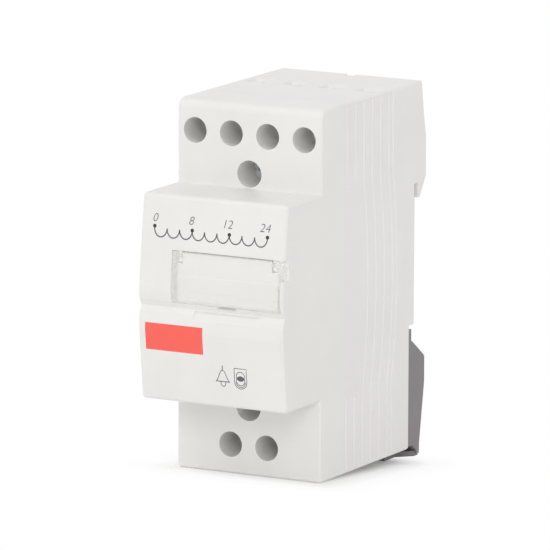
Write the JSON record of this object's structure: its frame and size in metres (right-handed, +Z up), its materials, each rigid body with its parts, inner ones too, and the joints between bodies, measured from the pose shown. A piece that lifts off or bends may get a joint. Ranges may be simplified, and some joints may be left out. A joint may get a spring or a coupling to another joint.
{
  "type": "doorbell transformer",
  "caption": "Slim stepped plastic box for a mounting rail, with screwdriver holes above and below, a clear label flap across its nose and a grey sliding clip at the back.",
  "frame": {"origin": "on the face that rests on the rail, midway across, level with the middle of the rail", "axes": "+Y points into the rail, out of the back; +Z is up; +X is to the right seen from the front"},
  "size_m": [0.0356, 0.0671, 0.0848],
  "materials": {
    "cover": "satin",
    "base": "satin",
    "clip": "satin",
    "clear": "clear",
    "card": "paper",
    "zinc": "zinc plated",
    "spring": "bright",
    "contact": "tinned",
    "core": "scaled",
    "bobbin": "satin",
    "winding": "enamelled copper",
    "tape": "film",
    "disc": "coated",
    "lead": "satin"
  },
  "bodies": {
    "housing": {"front_cover": "cover", "rear_base": "base", "clip_spring": "spring", "fixing_screw_upper": "zinc", "fixing_screw_lower": "zinc", "core_e_stack": "core", "core_i_stack": "core", "core_strap": "zinc", "bobbin": "bobbin", "primary_winding": "winding", "primary_tape": "tape", "secondary_winding": "winding", "secondary_tape": "tape", "overload_disc": "disc", "disc_lead": "lead", "input_lead_left": "lead", "input_lead_right": "lead", "output_lead_1": "lead", "output_lead_2": "lead", "output_lead_3": "lead", "output_lead_4": "lead", "output_contact_1": "contact", "output_contact_2": "contact", "output_contact_3": "contact", "output_contact_4": "contact", "input_contact_1": "contact", "input_contact_2": "contact"},
    "rail_clip": {"rail_clip": "clip"},
    "label_flap": {"label_flap": "clear", "label_card": "card"},
    "output_screw_1": {"output_screw_1": "zinc"},
    "output_cage_1": {"output_cage_1": "zinc"},
    "output_screw_2": {"output_screw_2": "zinc"},
    "output_cage_2": {"output_cage_2": "zinc"},
    "output_screw_3": {"output_screw_3": "zinc"},
    "output_cage_3": {"output_cage_3": "zinc"},
    "output_screw_4": {"output_screw_4": "zinc"},
    "output_cage_4": {"output_cage_4": "zinc"},
    "input_screw_1": {"input_screw_1": "zinc"},
    "input_cage_1": {"input_cage_1": "zinc"},
    "input_screw_2": {"input_screw_2": "zinc"},
    "input_cage_2": {"input_cage_2": "zinc"}
  },
  "joints": [
    {"name": "clip_slide", "type": "slide", "parent": "housing", "child": "rail_clip", "axis": [0, 0, -1], "range_m": [0, 0.0035], "stiffness_N_per_m": 1500, "springref_m": -0.004, "deforming": ["clip_spring"]},
    {"name": "flap_hinge", "type": "hinge", "parent": "housing", "child": "label_flap", "pos_m": [0.0036, -0.05935, 0.0086], "axis": [-1, 0, 0], "range_deg": [0, 90]},
    {"name": "output_screw_1_turn", "type": "hinge", "parent": "housing", "child": "output_screw_1", "pos_m": [-0.0135, -0.0315, 0.0333], "axis": [0, 1, 0], "range_deg": [0, 2401]},
    {"name": "output_cage_1_lift", "type": "slide", "parent": "housing", "child": "output_cage_1", "axis": [0, -1, 0], "range_m": [0, 0.004]},
    {"name": "output_screw_2_turn", "type": "hinge", "parent": "housing", "child": "output_screw_2", "pos_m": [-0.0045, -0.0315, 0.0333], "axis": [0, 1, 0], "range_deg": [0, 2401]},
    {"name": "output_cage_2_lift", "type": "slide", "parent": "housing", "child": "output_cage_2", "axis": [0, -1, 0], "range_m": [0, 0.004]},
    {"name": "output_screw_3_turn", "type": "hinge", "parent": "housing", "child": "output_screw_3", "pos_m": [0.0045, -0.0315, 0.0333], "axis": [0, 1, 0], "range_deg": [0, 2401]},
    {"name": "output_cage_3_lift", "type": "slide", "parent": "housing", "child": "output_cage_3", "axis": [0, -1, 0], "range_m": [0, 0.004]},
    {"name": "output_screw_4_turn", "type": "hinge", "parent": "housing", "child": "output_screw_4", "pos_m": [0.0135, -0.0315, 0.0333], "axis": [0, 1, 0], "range_deg": [0, 2401]},
    {"name": "output_cage_4_lift", "type": "slide", "parent": "housing", "child": "output_cage_4", "axis": [0, -1, 0], "range_m": [0, 0.004]},
    {"name": "input_screw_1_turn", "type": "hinge", "parent": "housing", "child": "input_screw_1", "pos_m": [-0.0045, -0.0315, -0.0357], "axis": [0, 1, 0], "range_deg": [0, 2401]},
    {"name": "input_cage_1_lift", "type": "slide", "parent": "housing", "child": "input_cage_1", "axis": [0, -1, 0], "range_m": [0, 0.004]},
    {"name": "input_screw_2_turn", "type": "hinge", "parent": "housing", "child": "input_screw_2", "pos_m": [0.0045, -0.0315, -0.0357], "axis": [0, 1, 0], "range_deg": [0, 2401]},
    {"name": "input_cage_2_lift", "type": "slide", "parent": "housing", "child": "input_cage_2", "axis": [0, -1, 0], "range_m": [0, 0.004]}
  ],
  "couplings": [
    {"joint": "output_screw_1_turn", "follows": "output_cage_1_lift", "rad_per_m": 10472},
    {"joint": "output_screw_2_turn", "follows": "output_cage_2_lift", "rad_per_m": 10472},
    {"joint": "output_screw_3_turn", "follows": "output_cage_3_lift", "rad_per_m": 10472},
    {"joint": "output_screw_4_turn", "follows": "output_cage_4_lift", "rad_per_m": 10472},
    {"joint": "input_screw_1_turn", "follows": "input_cage_1_lift", "rad_per_m": 10472},
    {"joint": "input_screw_2_turn", "follows": "input_cage_2_lift", "rad_per_m": 10472}
  ]
}
